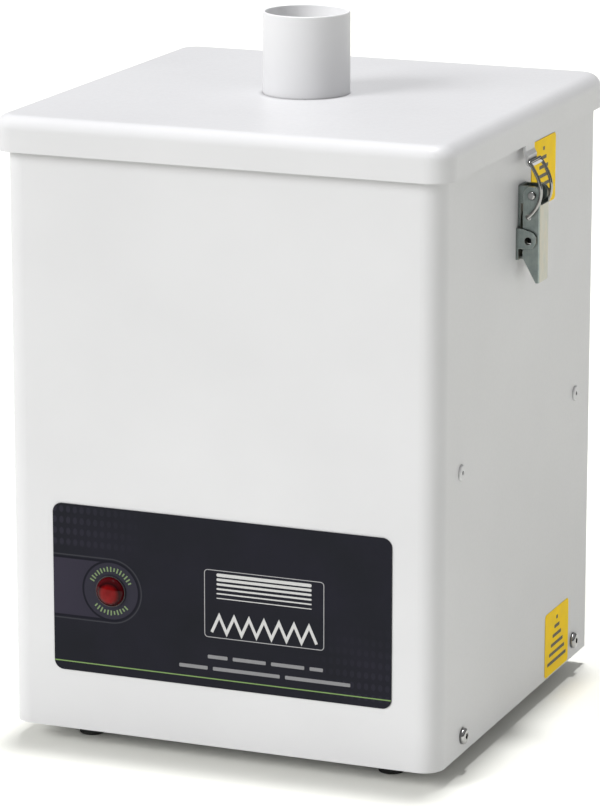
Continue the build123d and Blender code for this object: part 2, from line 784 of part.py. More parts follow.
# ================================================================ fascia and lamp
label_w = 205.0
label_h = 98.0
label_x = 0.5
label_z = 95.0
label_t = 0.6
fascia_y = -half_d - label_t        # outer face of the fascia label
lens_r = 8.6
barrel_r = 6.4

with BuildPart() as fascia_label:
    with BuildSketch(Plane.XZ.offset(half_d)):
        with Locations((label_x, label_z)):
            RectangleRounded(label_w, label_h, 5.5)
        with Locations((lamp_x, lamp_z)):
            Circle(barrel_r, mode=Mode.SUBTRACT)
    extrude(amount=label_t)
fascia_label.part.label = "fascia_label"
export_step(fascia_label.part, "parts/fascia_label.step")

with BuildPart() as indicator_body:
    with BuildSketch(Plane.XZ.offset(-fascia_y)):
        with Locations((lamp_x, lamp_z)):
            Circle(lens_r + 0.5)
    extrude(amount=1.0)
    with BuildSketch(Plane.XZ.offset(-fascia_y)):
        with Locations((lamp_x, lamp_z)):
            Circle(barrel_r)
    extrude(amount=-27)
    with BuildSketch(Plane.XZ.offset(-fascia_y - 27)):
        with Locations((lamp_x, lamp_z)):
            with GridLocations(5, 0, 2, 1):
                Rectangle(0.8, 2.8)
    extrude(amount=-6)
indicator_body.part.label = "indicator_body"
export_step(indicator_body.part, "parts/indicator_body.step")

with BuildPart() as indicator_nut:
    with BuildSketch(Plane.XZ.offset(-in_front)):
        with Locations((lamp_x, lamp_z)):
            RegularPolygon(9.5, 6)
            Circle(barrel_r, mode=Mode.SUBTRACT)
    extrude(amount=-3)
indicator_nut.part.label = "indicator_nut"
export_step(indicator_nut.part, "parts/indicator_nut.step")

with BuildPart() as indicator_lens:
    with BuildSketch(Plane.XZ.offset(-fascia_y + 1.0)):
        with Locations((lamp_x, lamp_z)):
            Circle(lens_r)
    extrude(amount=4.4)
    fillet(indicator_lens.edges().group_by(Axis.Y)[0], 4.1)
indicator_lens.part.label = "indicator_lens"
export_step(indicator_lens.part, "parts/indicator_lens.step")

sticker_w = 42.6
sticker_h = 39.0
sticker_t = 0.3

with BuildPart() as warning_labels:
    with BuildSketch(Plane.YZ.offset(half_w)):
        with Locations((38.7, 320.5), (75.5, 31.5)):
            RectangleRounded(sticker_w, sticker_h, 2.5)
    extrude(amount=sticker_t)
warning_labels.part.label = "warning_labels"
export_step(warning_labels.part, "parts/warning_labels.step")

# ================================================================ mains inlet and switch
recess_w = 22.6
recess_h = 14.6
recess_z = inlet_z - 6.2
drawer_w = 25.0
drawer_h = 8.6
drawer_z = inlet_z + 8.8
drawer_l = 20.0
flange_t = 3.0

with BuildPart() as inlet_socket:
    with BuildSketch(Plane.XZ.offset(-half_d)):
        with Locations((inlet_x, inlet_z)):
            RectangleRounded(50, 33, 3)
            with GridLocations(2 * socket_screw_x, 0, 2, 1):
                Circle(1.5, mode=Mode.SUBTRACT)
    extrude(amount=-flange_t)
    with BuildSketch(Plane.XZ.offset(-half_d)):
        with Locations((inlet_x, inlet_z)):
            Rectangle(socket_w, socket_h)
    extrude(amount=27)
    with BuildSketch(Plane.XZ.offset(-half_d - flange_t)) as mouth:
        with Locations((inlet_x, recess_z)):
            Rectangle(recess_w, recess_h)
        chamfer(mouth.vertices().group_by(Axis.Y)[-1], 3.4)
    extrude(amount=19, mode=Mode.SUBTRACT)
    with BuildSketch(Plane.XZ.offset(-half_d - flange_t)):
        with Locations((inlet_x, drawer_z)):
            Rectangle(drawer_w + 2 * gap, drawer_h + 2 * gap)
    extrude(amount=drawer_l + gap, mode=Mode.SUBTRACT)
inlet_socket.part.label = "inlet_socket"
export_step(inlet_socket.part, "parts/inlet_socket.step")

pin_root = half_d + flange_t - 19

with BuildPart() as inlet_pins:
    with BuildSketch(Plane.XZ.offset(-pin_root)):
        with Locations((inlet_x - 7, recess_z - 1.2), (inlet_x, recess_z + 2.4),
                       (inlet_x + 7, recess_z - 1.2)):
            Rectangle(2, 4)
    extrude(amount=-15)
    chamfer(inlet_pins.edges().group_by(Axis.Y)[-1], 0.5)
inlet_pins.part.label = "inlet_pins"
export_step(inlet_pins.part, "parts/inlet_pins.step")

with BuildPart() as fuse_drawer:
    with BuildSketch(Plane.XZ.offset(-half_d - flange_t)):
        with Locations((inlet_x, drawer_z)):
            Rectangle(drawer_w, drawer_h)
    extrude(amount=drawer_l)
    with BuildSketch(Plane.XZ.offset(-half_d - flange_t)):
        with Locations((inlet_x, drawer_z)):
            RectangleRounded(9, 3, 1)
    extrude(amount=2.5, mode=Mode.SUBTRACT)
fuse_drawer.part.label = "fuse_drawer"
export_step(fuse_drawer.part, "parts/fuse_drawer.step")

with BuildPart() as inlet_screws:
    with BuildSketch(Plane.XZ.offset(-half_d - flange_t)):
        with Locations((inlet_x, inlet_z)):
            with GridLocations(2 * socket_screw_x, 0, 2, 1):
                Circle(2.8)
    extrude(amount=-1.6)
    fillet(inlet_screws.edges().group_by(Axis.Y)[-1], 1.0)
    with BuildSketch(Plane.XZ.offset(-half_d - flange_t)):
        with Locations((inlet_x, inlet_z)):
            with GridLocations(2 * socket_screw_x, 0, 2, 1):
                Circle(1.5)
    extrude(amount=9)
inlet_screws.part.label = "inlet_screws"
export_step(inlet_screws.part, "parts/inlet_screws.step")

cap_r = 8.5                         # the ends of the rocker cap turn on this radius
cap_w = 10.6
trunnion_r = 1.2
trunnion_l = 6.3
pivot_y = half_d - 2.5
rocker_tilt = 12.0

with BuildPart() as rocker_frame:
    with BuildSketch(Plane.XZ.offset(-half_d)):
        with Locations((inlet_x, rocker_z)):
            RectangleRounded(19, 25, 2)
    extrude(amount=-2)
    with BuildSketch(Plane.XZ.offset(-half_d)):
        with Locations((inlet_x, rocker_z)):
            Rectangle(switch_w, switch_h)
    extrude(amount=18)
    with BuildSketch(Plane.XZ.offset(-half_d - 2)):
        with Locations((inlet_x, rocker_z)):
            Rectangle(cap_w + 2 * gap, 2 * (cap_r + gap))
    extrude(amount=14, mode=Mode.SUBTRACT)
    with BuildSketch(Plane.YZ.offset(inlet_x)):
        with Locations((pivot_y, rocker_z)):
            Circle(trunnion_r + 0.08)
    extrude(amount=trunnion_l + gap, both=True, mode=Mode.SUBTRACT)
rocker_frame.part.label = "rocker_frame"
export_step(rocker_frame.part, "parts/rocker_frame.step")

with BuildSketch() as cap_section:
    with BuildLine():
        Polyline((-2, -4), (0.5, -9), (6, -9), (3.4, 0), (6, 9), (0.5, 9), (-2, 4), close=True)
    make_face()
    Circle(cap_r, mode=Mode.INTERSECT)

with BuildPart() as rocker_switch:
    with BuildSketch(Plane.YZ.offset(inlet_x)):
        with Locations(Location((pivot_y, rocker_z, 0), (0, 0, -rocker_tilt))):
            add(cap_section.sketch)
    extrude(amount=cap_w / 2, both=True)
    with BuildSketch(Plane.YZ.offset(inlet_x)):
        with Locations((pivot_y, rocker_z)):
            Circle(trunnion_r)
    extrude(amount=trunnion_l, both=True)
rocker_switch.part.label = "rocker_switch"
export_step(rocker_switch.part, "parts/rocker_switch.step")

# ================================================================ wiring
# Each lead leaves one fitting square to its face and drops onto the control board.
lead_r = 1.2
blade_tip_y = fascia_y + 33
chip_top = chip_z + 26
relay_top = chip_z + 15.5
terminal_top = chip_z + 11
lead_ends = []
for shift in (-2.5, 2.5):
    lead_ends.append(((lamp_x + shift, blade_tip_y, lamp_z), (0, 1, 0),
                      (board_x + 2 * shift, board_y - 40, terminal_top)))
    lead_ends.append(((inlet_x + shift, half_d - 18, rocker_z), (0, -1, 0),
                      (board_x + 2 * shift, board_y + 40, chip_top)))
    lead_ends.append(((inlet_x + 2 * shift, half_d - 27, inlet_z), (0, -1, 0),
                      (board_x + 2 * shift, board_y + 28, chip_top)))
lead_ends.append(((fan_x - motor_r, fan_y, motor_z + 4), (-1, 0, 0),
                  (board_x - 8, board_y + 2, relay_top)))

with BuildPart() as wiring_leads:
    for start, leaving, landing in lead_ends:
        with BuildLine() as lead:
            Spline(start, landing, tangents=(leaving, (0, 0, -1)), tangent_scalars=(1.4, 1.4))
        with BuildSketch(Plane(start, z_dir=leaving)):
            Circle(lead_r)
        sweep(path=lead.line)
wiring_leads.part.label = "wiring_leads"
export_step(wiring_leads.part, "parts/wiring_leads.step")

# ================================================================ lid
neck_r = 24.5           # the hose tube is turned down to this where it passes through the lid

with BuildPart() as lid_shell:
    with BuildSketch(Plane.XY.offset(lid_z)):
        RectangleRounded(2 * skirt_x, 2 * skirt_x, lid_corner_r)
    extrude(amount=lid_h)
    fillet(lid_shell.faces().sort_by(Axis.Z)[-1].edges(), lid_edge_r)
    offset(amount=-sheet, openings=lid_shell.faces().sort_by(Axis.Z)[0])
    with BuildSketch(Plane.XY.offset(lid_top)):
        Circle(neck_r + 0.1)
    extrude(amount=-2 * sheet, mode=Mode.SUBTRACT)
lid_shell.part.label = "lid_shell"
export_step(lid_shell.part, "parts/lid_shell.step")

under_lid = lid_top - sheet
spigot_top = lid_top + spigot_h

with BuildPart() as lid_spigot:
    with BuildSketch(Plane.XY.offset(under_lid)):
        Circle(spigot_r + 8)
    extrude(amount=-sheet)
    with BuildSketch(Plane.XY.offset(under_lid)):
        Circle(neck_r)
    extrude(amount=sheet)
    with BuildSketch(Plane.XY.offset(lid_top)):
        Circle(spigot_r)
    extrude(amount=spigot_h)
    with BuildSketch(Plane.XY.offset(spigot_top)):
        Circle(spigot_r - sheet)
    extrude(amount=-(spigot_h + 3 * sheet), mode=Mode.SUBTRACT)
    fillet(lid_spigot.edges().group_by(Axis.Z)[-1], 0.6)
lid_spigot.part.label = "lid_spigot"
export_step(lid_spigot.part, "parts/lid_spigot.step")

with BuildPart() as lid_gasket:
    with BuildSketch(Plane.XY.offset(body_top)):
        with Locations((0, (in_front + in_rear) / 2)):
            RectangleRounded(2 * (in_w - 1), in_rear - in_front - 2, bend_r - sheet)
            Rectangle(2 * (in_w - fold), in_rear - in_front - 2 * fold, mode=Mode.SUBTRACT)
    extrude(amount=under_lid - body_top)
lid_gasket.part.label = "lid_gasket"
export_step(lid_gasket.part, "parts/lid_gasket.step")

# ================================================================ latches
# Section of the right-hand latch across the side wall: distances are from the wall face.
wire_r = 1.0
hook_x = 7.2                        # where the bail wire hooks into the catch
hook_z = 334.0
pin_x = 8.6                         # lever pivot
pin_z = 315.0
eye_x = 6.6                         # bail eye in the lever, below the pivot
eye_z = 302.4
lock_x = 7.2                        # padlock hole through the ears
lock_z = 289.2
plate_z = 278.0
latch_t = 1.5
lever_t = 1.2
lever_half = 7.8                    # half the outside width of the lever
ear_half = lever_half - lever_t - gap
lock_half = lever_half + gap + 1.3
web_x = 13.5
web_top = 309.5
lever_tip = 264.8
lever_bend_r = 0.9
pivot_r = 1.6


def wall_section(offset_y):
    """Section plane of the right latch, moved towards the rear by offset_y."""
    return Plane((half_w, latch_y + offset_y, 0), x_dir=(1, 0, 0), z_dir=(0, -1, 0))


catch_half = ear_half + 1.3
catch_sheet_x = hook_x - 2.05

with BuildPart() as lid_catches:
    with BuildSketch(wall_section(0)):
        with BuildLine() as catch_run:
            Polyline((lid_lap - sheet - 0.75, lid_z + 11), (lid_lap - sheet - 0.75, lid_z - 4.5),
                     (catch_sheet_x, lid_z - 7), (catch_sheet_x, hook_z))
            CenterArc((hook_x, hook_z), 2.05, 180, 145)
        trace(catch_run.line, latch_t)
    extrude(amount=catch_half, both=True)
    mirror(about=Plane.YZ)
lid_catches.part.label = "lid_catches"
export_step(lid_catches.part, "parts/lid_catches.step")

with BuildPart() as latch_base_right:
    with BuildSketch(Plane.YZ.offset(half_w)):
        with Locations((latch_y, (plate_z + 296) / 2)):
            Rectangle(2 * lock_half, 296 - plate_z)
        with Locations((latch_y, (296 + pin_z + 5) / 2)):
            Rectangle(2 * ear_half, pin_z + 5 - 296)
    extrude(amount=latch_t)
    with BuildSketch(wall_section(0)):
        with Locations((pin_x, pin_z)):
            Circle(5)
        with Locations((pin_x / 2, pin_z)):
            Rectangle(pin_x, 10)
        with Locations((pin_x, pin_z)):
            Circle(pivot_r, mode=Mode.SUBTRACT)
    extrude(amount=ear_half, both=True)
    with BuildSketch(wall_section(0)):
        with BuildLine():
            Polyline((0, plate_z + 6), (0, 296), (3.6, 296), (10.2, 294), (11.8, 291.8),
                     (11.8, 288), (9.8, 285.2), close=True)
        make_face()
        with Locations((lock_x, lock_z)):
            Circle(2.2, mode=Mode.SUBTRACT)
    extrude(amount=lock_half, both=True)
    with BuildSketch(wall_section(0)):
        with Locations((20 + latch_t, 300)):
            Rectangle(40, 80)
    extrude(amount=ear_half - latch_t, both=True, mode=Mode.SUBTRACT)
    with BuildSketch(wall_section(0)):
        with Locations((20 + latch_t, 287)):
            Rectangle(40, 26)
    extrude(amount=lock_half - 1.3, both=True, mode=Mode.SUBTRACT)
    with BuildSketch(wall_section(0)):
        with Locations((2.1, plate_z + latch_t / 2)):
            Rectangle(4.2, latch_t)
    extrude(amount=ear_half - 0.5, both=True)
    with BuildSketch(Plane.YZ.offset(half_w)):
        with Locations(*latch_rivet_spots):
            Circle(rivet_r)
    extrude(amount=latch_t, mode=Mode.SUBTRACT)
latch_base_right.part.label = "latch_base_right"
export_step(latch_base_right.part, "parts/latch_base_right.step")

with BuildPart() as latch_base_left:
    mirror(latch_base_right.part, about=Plane.YZ)
latch_base_left.part.label = "latch_base_left"
export_step(latch_base_left.part, "parts/latch_base_left.step")

with BuildPart() as latch_lever_right:
    with BuildSketch(wall_section(0)):
        with BuildLine():
            Polyline((3.5, pin_z), (3.5, 279), (11.4, lever_tip), (web_x, lever_tip),
                     (web_x, pin_z), close=True)
        make_face()
        with Locations((pin_x, pin_z)):
            Circle(5.1)
        with Locations((pin_x, pin_z)):
            Circle(pivot_r + 0.08, mode=Mode.SUBTRACT)
        with Locations((eye_x, eye_z)):
            Circle(wire_r + 0.7, mode=Mode.SUBTRACT)
        with Locations((lock_x, lock_z)):
            Circle(2.2, mode=Mode.SUBTRACT)
    extrude(amount=lever_half, both=True)
    with BuildSketch(wall_section(0)):
        with Locations((web_x - lever_t - 20, 290)):
            Rectangle(40, 100)
    extrude(amount=lever_half - lever_t, both=True, mode=Mode.SUBTRACT)
    with BuildSketch(wall_section(0)):
        with Locations((web_x, web_top + 20)):
            Rectangle(40, 40)
    extrude(amount=lever_half - lever_t, both=True, mode=Mode.SUBTRACT)
    tip_edges = latch_lever_right.edges().filter_by(Axis.X).group_by(Axis.Z)[0].sort_by(Axis.Y)
    fillet([tip_edges[0], tip_edges[-1]], lever_bend_r)
    outer_edges = latch_lever_right.edges().filter_by(Axis.Z).group_by(Axis.X)[-1].sort_by(Axis.Y)
    fillet([outer_edges[0], outer_edges[-1]], lever_bend_r)
latch_lever_right.part.label = "latch_lever_right"
export_step(latch_lever_right.part, "parts/latch_lever_right.step")

with BuildPart() as latch_lever_left:
    mirror(latch_lever_right.part, about=Plane.YZ)
latch_lever_left.part.label = "latch_lever_left"
export_step(latch_lever_left.part, "parts/latch_lever_left.step")

# Spring-wire bail: two bowed arms that clear the pivot, joined by the crossbar.
arm_y = lever_half + gap + wire_r

with BuildPart() as latch_bail_right:
    for side in (-1, 1):
        with BuildLine(wall_section(side * arm_y)) as arm:
            Spline((eye_x, eye_z), (11.4, 308), (14.3, 316.5), (12.6, 325), (hook_x, hook_z))
        with BuildSketch(Plane(arm.line @ 0, z_dir=arm.line % 0)):
            Circle(wire_r)
        sweep(path=arm.line)
        with Locations(arm.line @ 0, arm.line @ 1):
            Sphere(wire_r)
        with BuildSketch(wall_section(side * arm_y)):
            with Locations((eye_x, eye_z)):
                Circle(wire_r)
        extrude(amount=side * (arm_y - ear_half))
    with BuildSketch(wall_section(-arm_y)):
        with Locations((hook_x, hook_z)):
            Circle(wire_r)
    extrude(amount=-2 * arm_y)
latch_bail_right.part.label = "latch_bail_right"
export_step(latch_bail_right.part, "parts/latch_bail_right.step")

with BuildPart() as latch_bail_left:
    mirror(latch_bail_right.part, about=Plane.YZ)
latch_bail_left.part.label = "latch_bail_left"
export_step(latch_bail_left.part, "parts/latch_bail_left.step")

with BuildPart() as latch_pivots:
    with BuildSketch(wall_section(0)):
        with Locations((pin_x, pin_z)):
            Circle(pivot_r)
    extrude(amount=lever_half + 0.5, both=True)
    for side in (-1, 1):
        with BuildSketch(wall_section(side * (lever_half + 0.15))):
            with Locations((pin_x, pin_z)):
                Circle(2.4)
        extrude(amount=-side * 1.5)
    fillet(latch_pivots.edges().group_by(Axis.Y)[0], 1.2)
    fillet(latch_pivots.edges().group_by(Axis.Y)[-1], 1.2)
    mirror(about=Plane.YZ)
latch_pivots.part.label = "latch_pivots"
export_step(latch_pivots.part, "parts/latch_pivots.step")

with BuildPart() as latch_rivets:
    with BuildSketch(Plane.YZ.offset(half_w + latch_t)):
        with Locations(*latch_rivet_spots):
            Circle(3.2)
    extrude(amount=1.2)
    fillet(latch_rivets.edges().group_by(Axis.X)[-1], 0.9)
    with BuildSketch(Plane.YZ.offset(half_w + latch_t)):
        with Locations(*latch_rivet_spots):
            Circle(rivet_r)
    extrude(amount=-6)
    mirror(about=Plane.YZ)
latch_rivets.part.label = "latch_rivets"
export_step(latch_rivets.part, "parts/latch_rivets.step")
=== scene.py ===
import json
import math

import bmesh
import bpy
from mathutils import Matrix, Vector


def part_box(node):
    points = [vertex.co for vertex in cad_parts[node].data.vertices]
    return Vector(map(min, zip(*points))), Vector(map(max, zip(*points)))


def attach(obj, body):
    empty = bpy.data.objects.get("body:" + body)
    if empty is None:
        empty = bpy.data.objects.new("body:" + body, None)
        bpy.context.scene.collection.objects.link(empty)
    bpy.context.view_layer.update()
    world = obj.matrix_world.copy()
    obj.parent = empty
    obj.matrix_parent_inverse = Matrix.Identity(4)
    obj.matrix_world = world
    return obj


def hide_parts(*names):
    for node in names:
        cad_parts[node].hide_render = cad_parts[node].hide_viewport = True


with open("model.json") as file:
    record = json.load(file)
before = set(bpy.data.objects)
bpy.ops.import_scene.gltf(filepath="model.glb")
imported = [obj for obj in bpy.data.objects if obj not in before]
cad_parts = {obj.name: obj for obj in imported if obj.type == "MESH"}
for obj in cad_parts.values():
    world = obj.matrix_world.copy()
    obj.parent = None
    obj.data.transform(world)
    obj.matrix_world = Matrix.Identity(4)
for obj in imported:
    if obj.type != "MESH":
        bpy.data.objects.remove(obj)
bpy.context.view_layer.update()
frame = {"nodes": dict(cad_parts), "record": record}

# ---------------------------------------------------------------- camera
FOCAL = 4176.0            # focal length, in heights of one image dot
IMAGE_HEIGHT = 808        # the longer side, which the sensor's width covers
YAW = math.radians(22.02)
PITCH = math.radians(13.99)
CAMERA_AT = Vector((0.88059, -2.18736, 0.76789))

scene = bpy.context.scene
scene.view_settings.view_transform = "Standard"
camera_data = bpy.data.cameras.new("camera")
camera_data.lens = FOCAL * camera_data.sensor_width / IMAGE_HEIGHT
camera_data.clip_start = 0.05
camera_data.clip_end = 60
camera = bpy.data.objects.new("camera", camera_data)
scene.collection.objects.link(camera)
looking = -Vector((math.sin(YAW) * math.cos(PITCH), -math.cos(YAW) * math.cos(PITCH), math.sin(PITCH)))
camera.location = CAMERA_AT
camera.rotation_euler = looking.to_track_quat("-Z", "Y").to_euler()
scene.camera = camera


# ---------------------------------------------------------------- material kit
class Finish:
    """A material whose nodes read the object's own coordinates, in metres."""

    def __init__(self, name, rough, metal=0.0, **fixed):
        self.material = bpy.data.materials.new(name)
        self.material.use_nodes = True
        self.tree = self.material.node_tree
        self.tree.nodes.clear()
        out = self.node("ShaderNodeOutputMaterial")
        self.shader = self.node("ShaderNodeBsdfPrincipled")
        self.tree.links.new(self.shader.outputs[0], out.inputs[0])
        self.shader.inputs["Roughness"].default_value = rough
        self.shader.inputs["Metallic"].default_value = metal
        for key, value in fixed.items():
            self.shader.inputs[key.replace("_", " ").title().replace("Ior", "IOR")].default_value = value
        self.place = self.node("ShaderNodeTexCoord").outputs["Object"]

    def node(self, kind, **settings):
        made = self.tree.nodes.new(kind)
        for key, value in settings.items():
            setattr(made, key, value)
        return made

    def feed(self, socket, value):
        if isinstance(value, bpy.types.NodeSocket):
            self.tree.links.new(value, socket)
        else:
            socket.default_value = value

    def rgba(self, color):
        return color if isinstance(color, bpy.types.NodeSocket) else (*color, 1.0)

    def math(self, operation, a, b=0.0, clamp=False):
        made = self.node("ShaderNodeMath", operation=operation, use_clamp=clamp)
        self.feed(made.inputs[0], a)
        self.feed(made.inputs[1], b)
        return made.outputs[0]

    def stretch(self, x, y, z):
        """The object's coordinates, each multiplied by its own factor."""
        made = self.node("ShaderNodeMapping")
        self.feed(made.inputs["Vector"], self.place)
        made.inputs["Scale"].default_value = (x, y, z)
        return made.outputs[0]

    def noise(self, size, detail=3.0, rough=0.5, along=(1, 1, 1), distortion=0.0):
        """Noise whose lumps are about size metres across, longer where along is under 1."""
        made = self.node("ShaderNodeTexNoise")
        self.feed(made.inputs["Vector"], self.stretch(*(a / size for a in along)))
        made.inputs["Scale"].default_value = 1.0
        made.inputs["Detail"].default_value = detail
        made.inputs["Roughness"].default_value = rough
        made.inputs["Distortion"].default_value = distortion
        return made.outputs["Fac"]

    def cells(self, size, feature="F1", random=1.0, output="Distance"):
        """Cells about size metres across."""
        made = self.node("ShaderNodeTexVoronoi", feature=feature)
        self.feed(made.inputs["Vector"], self.stretch(1 / size, 1 / size, 1 / size))
        made.inputs["Scale"].default_value = 1.0
        made.inputs["Randomness"].default_value = random
        return made.outputs[output]

    def span(self, value, low, high, to_low=0.0, to_high=1.0):
        """Takes low to to_low and high to to_high, and stops there."""
        made = self.node("ShaderNodeMapRange")
        self.feed(made.inputs["Value"], value)
        made.inputs["From Min"].default_value = low
        made.inputs["From Max"].default_value = high
        made.inputs["To Min"].default_value = to_low
        made.inputs["To Max"].default_value = to_high
        return made.outputs["Result"]

    def mix(self, amount, a, b):
        made = self.node("ShaderNodeMix", data_type="RGBA")
        self.feed(made.inputs["Factor"], amount)
        self.feed(made.inputs["A"], self.rgba(a))
        self.feed(made.inputs["B"], self.rgba(b))
        return made.outputs["Result"]

    def bump(self, height, depth, strength=1.0, under=None):
        """A normal for relief depth metres deep, on top of the normal under."""
        made = self.node("ShaderNodeBump")
        made.inputs["Strength"].default_value = strength
        made.inputs["Distance"].default_value = depth
        self.feed(made.inputs["Height"], height)
        if under is not None:
            self.feed(made.inputs["Normal"], under)
        return made.outputs[0]

    def done(self, color, rough=None, normal=None):
        """Feeds the shader and gives the finished material."""
        self.feed(self.shader.inputs["Base Color"], self.rgba(color))
        if rough is not None:
            self.feed(self.shader.inputs["Roughness"], rough)
        if normal is not None:
            self.feed(self.shader.inputs["Normal"], normal)
        return self.material


def tinted(color, by):
    return tuple(min(1, c * by) for c in color)


def edge_light(finish, radius):
    """0 on the flats, up to 1 on convex and concave edges, where a painted highlight goes."""
    rounded = finish.node("ShaderNodeBevel", samples=4)
    rounded.inputs["Radius"].default_value = radius
    flat = finish.node("ShaderNodeNewGeometry")
    dot = finish.node("ShaderNodeVectorMath", operation="DOT_PRODUCT")
    finish.feed(dot.inputs[0], rounded.outputs[0])
    finish.feed(dot.inputs[1], flat.outputs["Normal"])
    return finish.span(dot.outputs["Value"], 1.0, 0.8)


def shade_within(finish, reach, low, high, most):
    """How much painted shade to lay in a hollow: most where reach metres around are closed in, 0 in the
    open.
    """
    hollow = finish.node("ShaderNodeAmbientOcclusion", samples=8)
    hollow.inputs["Distance"].default_value = reach
    return finish.span(hollow.outputs["AO"], low, high, most, 0.0)


# ---------------------------------------------------------------- finishes
PAINT = (0.574, 0.574, 0.588)
# paler colour painted inside the spigot's bore, as painted light
BORE_PAINTED_LIGHT = (0.93, 0.93, 0.94)
SPECK_PITCH = 0.016       # one speck of dust at most in a cell this wide


def powder_coat(name="powder_coat", tint=PAINT, bore=None):
    """Satin powder coat: fine orange peel, slow changes of tone, a few specks of dust under the coat, and
    painted shade in its hollows.

    Inside an upright bore of that radius on the origin the coat is painted paler: painted light in the bore.
    """
    f = Finish(name, 0.42, Specular_ior_level=0.4)
    slow = f.noise(0.09, 2)
    fine = f.noise(0.0022, 3, 0.55)
    grain = f.noise(0.0006, 2, 0.6)
    tone = f.mix(f.span(slow, 0.3, 0.7), tinted(tint, 0.975), tinted(tint, 1.02))
    speck_spot = f.math("LESS_THAN", f.cells(SPECK_PITCH), 0.022)
    chance = f.math("GREATER_THAN", f.cells(SPECK_PITCH, output="Color"), 0.86)
    tone = f.mix(f.math("MULTIPLY", speck_spot, chance), tone, tinted(tint, 0.66))
    # painted shade: the coat darkens in hollows and narrow gaps
    tone = f.mix(shade_within(f, 0.0016, 0.2, 0.8, 0.8), tone, tinted(tint, 0.25))
    # painted light: the coat turns paler inside the bore
    if bore:
        flat = f.node("ShaderNodeVectorMath", operation="MULTIPLY")
        f.feed(flat.inputs[0], f.place)
        flat.inputs[1].default_value = (1, 1, 0)
        reach = f.node("ShaderNodeVectorMath", operation="LENGTH")
        f.feed(reach.inputs[0], flat.outputs[0])
        within = f.span(reach.outputs["Value"], bore, bore + 0.001, 1.0, 0.0)
        tone = f.mix(within, tone, BORE_PAINTED_LIGHT)
    rough = f.span(fine, 0.25, 0.75, 0.36, 0.5)
    peel = f.bump(fine, 0.00004, 0.55)
    return f.done(tone, rough, f.bump(grain, 0.000012, 0.5, peel))


# pale colour of the painted highlight on edges of plated parts
EDGE_HIGHLIGHT = (0.80, 0.80, 0.77)
# colours of the painted shade laid in the hollows of zinc and of steel parts
ZINC_HOLLOW_SHADE = (0.03, 0.033, 0.036)
STEEL_HOLLOW_SHADE = (0.02, 0.02, 0.022)


def plated(name, dark, light, sheen_tone, rough=0.34, streak=0.0007, edge=0.0004):
    """Zinc plate: cloudy passivation, fine draw marks, a paler warm tone in patches on the faces turned
    along X as painted reflection, painted highlights on the edges, painted shade in the hollows.
    """
    f = Finish(name, rough, 1.0)
    cloud = f.noise(0.006, 4, 0.6)
    marks = f.noise(streak, 3, 0.6, along=(1, 1, 0.08))
    facing = f.node("ShaderNodeSeparateXYZ")
    f.feed(facing.inputs[0], f.node("ShaderNodeTexCoord").outputs["Normal"])
    outward = f.span(f.math("ABSOLUTE", facing.outputs["X"]), 0.75, 0.95)
    sheen_patches = f.span(f.noise(0.003, 5, 0.7, along=(1, 1, 0.3)), 0.40, 0.62, 1.0, 0.4)
    tone = f.mix(f.span(cloud, 0.3, 0.7), dark, light)
    tone = f.mix(f.span(marks, 0.35, 0.75, 0.0, 0.25), tone, tinted(dark, 0.7))
    # painted reflection: faces turned along X take a paler, warmer tone in patches
    tone = f.mix(f.math("MULTIPLY", outward, sheen_patches), tone, sheen_tone)
    # painted highlight along convex and concave edges
    tone = f.mix(f.math("MULTIPLY", edge_light(f, edge), 0.45), tone, EDGE_HIGHLIGHT)
    # painted shade darkens the plate in its hollows
    tone = f.mix(shade_within(f, 0.003, 0.25, 0.85, 0.85), tone, ZINC_HOLLOW_SHADE)
    shine = f.span(f.math("ADD", cloud, marks), 0.6, 1.4, rough * 0.75, rough * 1.3)
    return f.done(tone, shine, f.bump(marks, 0.00002, 0.5))


def spangled(name, base=(0.56, 0.57, 0.58)):
    """Hot-dip galvanised sheet with flat crystals of differing brightness."""
    f = Finish(name, 0.4, 0.95)
    crystal = f.cells(0.009, output="Color")
    fine = f.noise(0.0015, 3)
    tone = f.mix(f.span(crystal, 0.1, 0.9), tinted(base, 0.82), tinted(base, 1.12))
    return f.done(tone, f.span(crystal, 0.0, 1.0, 0.3, 0.5), f.bump(fine, 0.00003, 0.4))


def turned(name, base, rough=0.24, size=0.0005, hollow_shade=0.0, reach=0.002):
    """Machined or drawn metal with fine scratches; painted shade can darken its corners."""
    f = Finish(name, rough, 1.0)
    scratch = f.noise(size, 3, 0.7, along=(0.25, 1, 1))
    film = f.noise(0.003, 3)
    tone = f.mix(f.span(film, 0.35, 0.7), tinted(base, 0.82), base)
    if hollow_shade:
        # painted shade in the corners
        tone = f.mix(shade_within(f, reach, 0.3, 0.9, hollow_shade), tone, STEEL_HOLLOW_SHADE)
    return f.done(tone, f.span(scratch, 0.3, 0.7, rough * 0.7, rough * 1.5), f.bump(scratch, 0.00001, 0.5))


def moulded(name, base, rough=0.5, grain=0.0007, depth=0.00003, lift=1.35):
    """Moulded plastic or rubber with a fine spark-eroded grain and a trace of dust."""
    f = Finish(name, rough, 0.0, Specular_ior_level=0.5)
    texture = f.cells(grain)
    dust = f.noise(0.012, 4, 0.6)
    tone = f.mix(f.span(dust, 0.35, 0.75), base, tuple(min(1, c * lift + 0.003) for c in base))
    return f.done(tone, f.span(dust, 0.3, 0.7, rough * 0.85, rough * 1.2), f.bump(texture, depth, 0.5))


